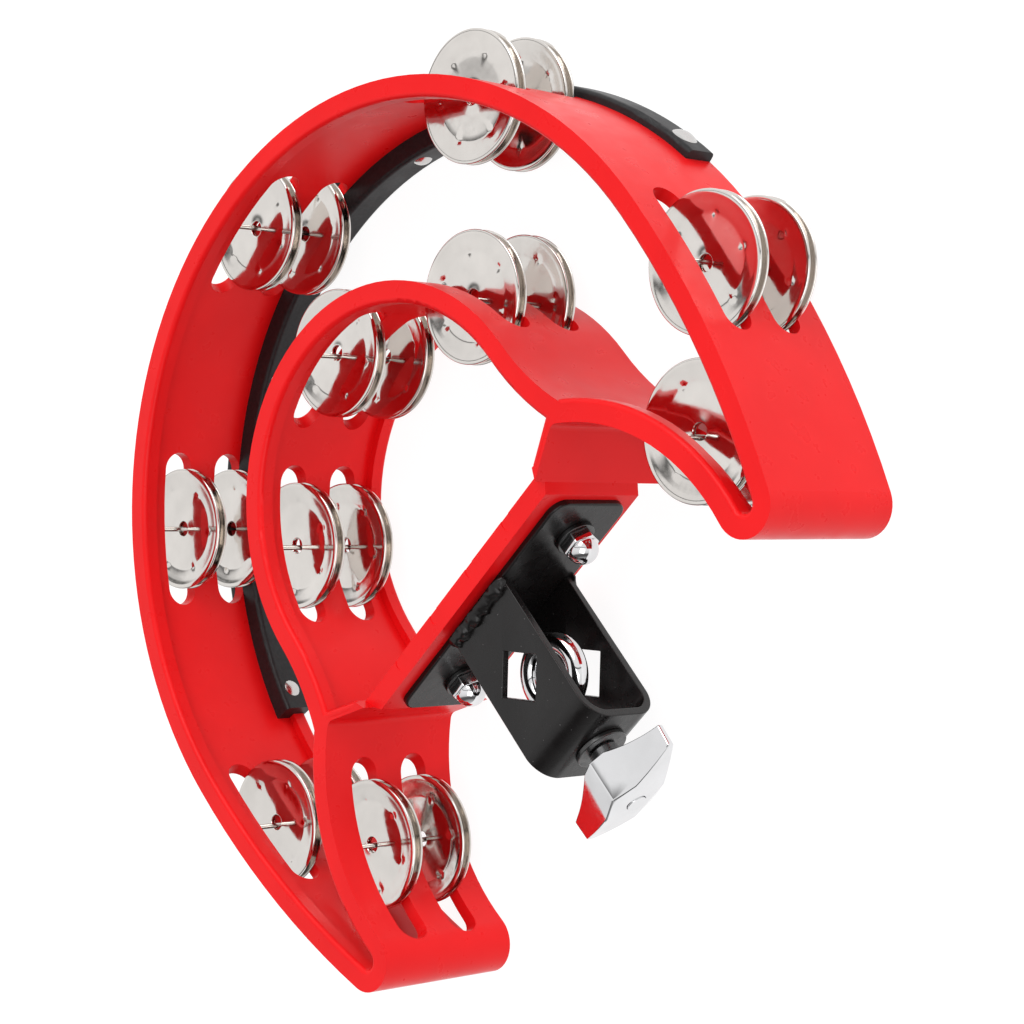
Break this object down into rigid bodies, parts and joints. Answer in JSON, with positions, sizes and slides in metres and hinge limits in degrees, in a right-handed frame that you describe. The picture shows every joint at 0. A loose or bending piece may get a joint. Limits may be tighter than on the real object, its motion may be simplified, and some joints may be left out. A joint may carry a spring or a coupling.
{
  "type": "half-moon tambourine",
  "caption": "Crescent-shaped plastic tambourine with an inner loop, paired steel jingles in two rows of slots, a strike strip and a wing-nut clamp for a drum-kit rod.",
  "frame": {"origin": "centre of the clamp's eye, where the stand rod passes, 2 mm in front of the middle of the shell's depth", "axes": "+Z along the rod, from the back rim with the strike strip to the front rim; +Y from the clamp towards the crown of the outer arc; +X to the right horn"},
  "size_m": [0.2909, 0.2616, 0.0524],
  "materials": {
    "red_plastic": "glossy",
    "black_rubber": "satin",
    "black_paint": "gloss",
    "jingle_steel": "polished",
    "pin_steel": "satin",
    "rivet_steel": "satin",
    "bright_chrome": "polished",
    "dark_washer": "satin"
  },
  "bodies": {
    "frame": {"shell": "red_plastic", "strike_strip": "black_rubber", "strip_rivets": "rivet_steel", "jingle_pins": "pin_steel", "bracket_plate": "black_paint", "bracket_channel": "black_paint", "weld_beads": "black_paint", "bracket_bolts": "pin_steel", "cap_nuts": "bright_chrome", "nut_washers": "dark_washer", "channel_washer": "dark_washer"},
    "wing_nut": {"wing_nut": "bright_chrome"},
    "eye_bolt": {"eye_bolt": "bright_chrome"},
    "jingle_crown_back_lower": {"jingle_crown_back_lower": "jingle_steel"},
    "jingle_crown_back_upper": {"jingle_crown_back_upper": "jingle_steel"},
    "jingle_crown_front_lower": {"jingle_crown_front_lower": "jingle_steel"},
    "jingle_crown_front_upper": {"jingle_crown_front_upper": "jingle_steel"},
    "jingle_horn_left_back_lower": {"jingle_horn_left_back_lower": "jingle_steel"},
    "jingle_horn_left_back_upper": {"jingle_horn_left_back_upper": "jingle_steel"},
    "jingle_horn_left_front_lower": {"jingle_horn_left_front_lower": "jingle_steel"},
    "jingle_horn_left_front_upper": {"jingle_horn_left_front_upper": "jingle_steel"},
    "jingle_horn_right_back_lower": {"jingle_horn_right_back_lower": "jingle_steel"},
    "jingle_horn_right_back_upper": {"jingle_horn_right_back_upper": "jingle_steel"},
    "jingle_horn_right_front_lower": {"jingle_horn_right_front_lower": "jingle_steel"},
    "jingle_horn_right_front_upper": {"jingle_horn_right_front_upper": "jingle_steel"},
    "jingle_leg_left_back_lower": {"jingle_leg_left_back_lower": "jingle_steel"},
    "jingle_leg_left_back_upper": {"jingle_leg_left_back_upper": "jingle_steel"},
    "jingle_leg_left_front_lower": {"jingle_leg_left_front_lower": "jingle_steel"},
    "jingle_leg_left_front_upper": {"jingle_leg_left_front_upper": "jingle_steel"},
    "jingle_leg_right_back_lower": {"jingle_leg_right_back_lower": "jingle_steel"},
    "jingle_leg_right_back_upper": {"jingle_leg_right_back_upper": "jingle_steel"},
    "jingle_leg_right_front_lower": {"jingle_leg_right_front_lower": "jingle_steel"},
    "jingle_leg_right_front_upper": {"jingle_leg_right_front_upper": "jingle_steel"},
    "jingle_loop_side_left_back_lower": {"jingle_loop_side_left_back_lower": "jingle_steel"},
    "jingle_loop_side_left_back_upper": {"jingle_loop_side_left_back_upper": "jingle_steel"},
    "jingle_loop_side_left_front_lower": {"jingle_loop_side_left_front_lower": "jingle_steel"},
    "jingle_loop_side_left_front_upper": {"jingle_loop_side_left_front_upper": "jingle_steel"},
    "jingle_loop_side_right_back_lower": {"jingle_loop_side_right_back_lower": "jingle_steel"},
    "jingle_loop_side_right_back_upper": {"jingle_loop_side_right_back_upper": "jingle_steel"},
    "jingle_loop_side_right_front_lower": {"jingle_loop_side_right_front_lower": "jingle_steel"},
    "jingle_loop_side_right_front_upper": {"jingle_loop_side_right_front_upper": "jingle_steel"},
    "jingle_loop_top_back_lower": {"jingle_loop_top_back_lower": "jingle_steel"},
    "jingle_loop_top_back_upper": {"jingle_loop_top_back_upper": "jingle_steel"},
    "jingle_loop_top_front_lower": {"jingle_loop_top_front_lower": "jingle_steel"},
    "jingle_loop_top_front_upper": {"jingle_loop_top_front_upper": "jingle_steel"},
    "jingle_shoulder_left_back_lower": {"jingle_shoulder_left_back_lower": "jingle_steel"},
    "jingle_shoulder_left_back_upper": {"jingle_shoulder_left_back_upper": "jingle_steel"},
    "jingle_shoulder_left_front_lower": {"jingle_shoulder_left_front_lower": "jingle_steel"},
    "jingle_shoulder_left_front_upper": {"jingle_shoulder_left_front_upper": "jingle_steel"},
    "jingle_shoulder_right_back_lower": {"jingle_shoulder_right_back_lower": "jingle_steel"},
    "jingle_shoulder_right_back_upper": {"jingle_shoulder_right_back_upper": "jingle_steel"},
    "jingle_shoulder_right_front_lower": {"jingle_shoulder_right_front_lower": "jingle_steel"},
    "jingle_shoulder_right_front_upper": {"jingle_shoulder_right_front_upper": "jingle_steel"}
  },
  "joints": [
    {"name": "wing_nut_turn", "type": "hinge", "parent": "frame", "child": "wing_nut", "pos_m": [0, -0.04, 0], "axis": [0, 1, 0], "range_deg": [-1440, 2880]},
    {"name": "eye_bolt_draw", "type": "slide", "parent": "frame", "child": "eye_bolt", "axis": [0, -1, 0], "range_m": [-0.004, 0.008]},
    {"name": "crown_back_pair_slide", "type": "slide", "parent": "frame", "child": "jingle_crown_back_lower", "axis": [0, 0, 1], "range_m": [0, 0.0032]},
    {"name": "crown_back_clap", "type": "slide", "parent": "jingle_crown_back_lower", "child": "jingle_crown_back_upper", "axis": [0, 0, 1], "range_m": [0, 0.0032]},
    {"name": "crown_front_pair_slide", "type": "slide", "parent": "frame", "child": "jingle_crown_front_lower", "axis": [0, 0, 1], "range_m": [0, 0.0032]},
    {"name": "crown_front_clap", "type": "slide", "parent": "jingle_crown_front_lower", "child": "jingle_crown_front_upper", "axis": [0, 0, 1], "range_m": [0, 0.0032]},
    {"name": "horn_left_back_pair_slide", "type": "slide", "parent": "frame", "child": "jingle_horn_left_back_lower", "axis": [0, 0, 1], "range_m": [0, 0.0032]},
    {"name": "horn_left_back_clap", "type": "slide", "parent": "jingle_horn_left_back_lower", "child": "jingle_horn_left_back_upper", "axis": [0, 0, 1], "range_m": [0, 0.0032]},
    {"name": "horn_left_front_pair_slide", "type": "slide", "parent": "frame", "child": "jingle_horn_left_front_lower", "axis": [0, 0, 1], "range_m": [0, 0.0032]},
    {"name": "horn_left_front_clap", "type": "slide", "parent": "jingle_horn_left_front_lower", "child": "jingle_horn_left_front_upper", "axis": [0, 0, 1], "range_m": [0, 0.0032]},
    {"name": "horn_right_back_pair_slide", "type": "slide", "parent": "frame", "child": "jingle_horn_right_back_lower", "axis": [0, 0, 1], "range_m": [0, 0.0032]},
    {"name": "horn_right_back_clap", "type": "slide", "parent": "jingle_horn_right_back_lower", "child": "jingle_horn_right_back_upper", "axis": [0, 0, 1], "range_m": [0, 0.0032]},
    {"name": "horn_right_front_pair_slide", "type": "slide", "parent": "frame", "child": "jingle_horn_right_front_lower", "axis": [0, 0, 1], "range_m": [0, 0.0032]},
    {"name": "horn_right_front_clap", "type": "slide", "parent": "jingle_horn_right_front_lower", "child": "jingle_horn_right_front_upper", "axis": [0, 0, 1], "range_m": [0, 0.0032]},
    {"name": "leg_left_back_pair_slide", "type": "slide", "parent": "frame", "child": "jingle_leg_left_back_lower", "axis": [0, 0, 1], "range_m": [0, 0.0032]},
    {"name": "leg_left_back_clap", "type": "slide", "parent": "jingle_leg_left_back_lower", "child": "jingle_leg_left_back_upper", "axis": [0, 0, 1], "range_m": [0, 0.0032]},
    {"name": "leg_left_front_pair_slide", "type": "slide", "parent": "frame", "child": "jingle_leg_left_front_lower", "axis": [0, 0, 1], "range_m": [0, 0.0032]},
    {"name": "leg_left_front_clap", "type": "slide", "parent": "jingle_leg_left_front_lower", "child": "jingle_leg_left_front_upper", "axis": [0, 0, 1], "range_m": [0, 0.0032]},
    {"name": "leg_right_back_pair_slide", "type": "slide", "parent": "frame", "child": "jingle_leg_right_back_lower", "axis": [0, 0, 1], "range_m": [0, 0.0032]},
    {"name": "leg_right_back_clap", "type": "slide", "parent": "jingle_leg_right_back_lower", "child": "jingle_leg_right_back_upper", "axis": [0, 0, 1], "range_m": [0, 0.0032]},
    {"name": "leg_right_front_pair_slide", "type": "slide", "parent": "frame", "child": "jingle_leg_right_front_lower", "axis": [0, 0, 1], "range_m": [0, 0.0032]},
    {"name": "leg_right_front_clap", "type": "slide", "parent": "jingle_leg_right_front_lower", "child": "jingle_leg_right_front_upper", "axis": [0, 0, 1], "range_m": [0, 0.0032]},
    {"name": "loop_side_left_back_pair_slide", "type": "slide", "parent": "frame", "child": "jingle_loop_side_left_back_lower", "axis": [0, 0, 1], "range_m": [0, 0.0032]},
    {"name": "loop_side_left_back_clap", "type": "slide", "parent": "jingle_loop_side_left_back_lower", "child": "jingle_loop_side_left_back_upper", "axis": [0, 0, 1], "range_m": [0, 0.0032]},
    {"name": "loop_side_left_front_pair_slide", "type": "slide", "parent": "frame", "child": "jingle_loop_side_left_front_lower", "axis": [0, 0, 1], "range_m": [0, 0.0032]},
    {"name": "loop_side_left_front_clap", "type": "slide", "parent": "jingle_loop_side_left_front_lower", "child": "jingle_loop_side_left_front_upper", "axis": [0, 0, 1], "range_m": [0, 0.0032]},
    {"name": "loop_side_right_back_pair_slide", "type": "slide", "parent": "frame", "child": "jingle_loop_side_right_back_lower", "axis": [0, 0, 1], "range_m": [0, 0.0032]},
    {"name": "loop_side_right_back_clap", "type": "slide", "parent": "jingle_loop_side_right_back_lower", "child": "jingle_loop_side_right_back_upper", "axis": [0, 0, 1], "range_m": [0, 0.0032]},
    {"name": "loop_side_right_front_pair_slide", "type": "slide", "parent": "frame", "child": "jingle_loop_side_right_front_lower", "axis": [0, 0, 1], "range_m": [0, 0.0032]},
    {"name": "loop_side_right_front_clap", "type": "slide", "parent": "jingle_loop_side_right_front_lower", "child": "jingle_loop_side_right_front_upper", "axis": [0, 0, 1], "range_m": [0, 0.0032]},
    {"name": "loop_top_back_pair_slide", "type": "slide", "parent": "frame", "child": "jingle_loop_top_back_lower", "axis": [0, 0, 1], "range_m": [0, 0.0032]},
    {"name": "loop_top_back_clap", "type": "slide", "parent": "jingle_loop_top_back_lower", "child": "jingle_loop_top_back_upper", "axis": [0, 0, 1], "range_m": [0, 0.0032]},
    {"name": "loop_top_front_pair_slide", "type": "slide", "parent": "frame", "child": "jingle_loop_top_front_lower", "axis": [0, 0, 1], "range_m": [0, 0.0032]},
    {"name": "loop_top_front_clap", "type": "slide", "parent": "jingle_loop_top_front_lower", "child": "jingle_loop_top_front_upper", "axis": [0, 0, 1], "range_m": [0, 0.0032]},
    {"name": "shoulder_left_back_pair_slide", "type": "slide", "parent": "frame", "child": "jingle_shoulder_left_back_lower", "axis": [0, 0, 1], "range_m": [0, 0.0032]},
    {"name": "shoulder_left_back_clap", "type": "slide", "parent": "jingle_shoulder_left_back_lower", "child": "jingle_shoulder_left_back_upper", "axis": [0, 0, 1], "range_m": [0, 0.0032]},
    {"name": "shoulder_left_front_pair_slide", "type": "slide", "parent": "frame", "child": "jingle_shoulder_left_front_lower", "axis": [0, 0, 1], "range_m": [0, 0.0032]},
    {"name": "shoulder_left_front_clap", "type": "slide", "parent": "jingle_shoulder_left_front_lower", "child": "jingle_shoulder_left_front_upper", "axis": [0, 0, 1], "range_m": [0, 0.0032]},
    {"name": "shoulder_right_back_pair_slide", "type": "slide", "parent": "frame", "child": "jingle_shoulder_right_back_lower", "axis": [0, 0, 1], "range_m": [0, 0.0032]},
    {"name": "shoulder_right_back_clap", "type": "slide", "parent": "jingle_shoulder_right_back_lower", "child": "jingle_shoulder_right_back_upper", "axis": [0, 0, 1], "range_m": [0, 0.0032]},
    {"name": "shoulder_right_front_pair_slide", "type": "slide", "parent": "frame", "child": "jingle_shoulder_right_front_lower", "axis": [0, 0, 1], "range_m": [0, 0.0032]},
    {"name": "shoulder_right_front_clap", "type": "slide", "parent": "jingle_shoulder_right_front_lower", "child": "jingle_shoulder_right_front_upper", "axis": [0, 0, 1], "range_m": [0, 0.0032]}
  ],
  "couplings": [
    {"joint": "eye_bolt_draw", "follows": "wing_nut_turn", "m_per_rad": 0.00015915}
  ]
}
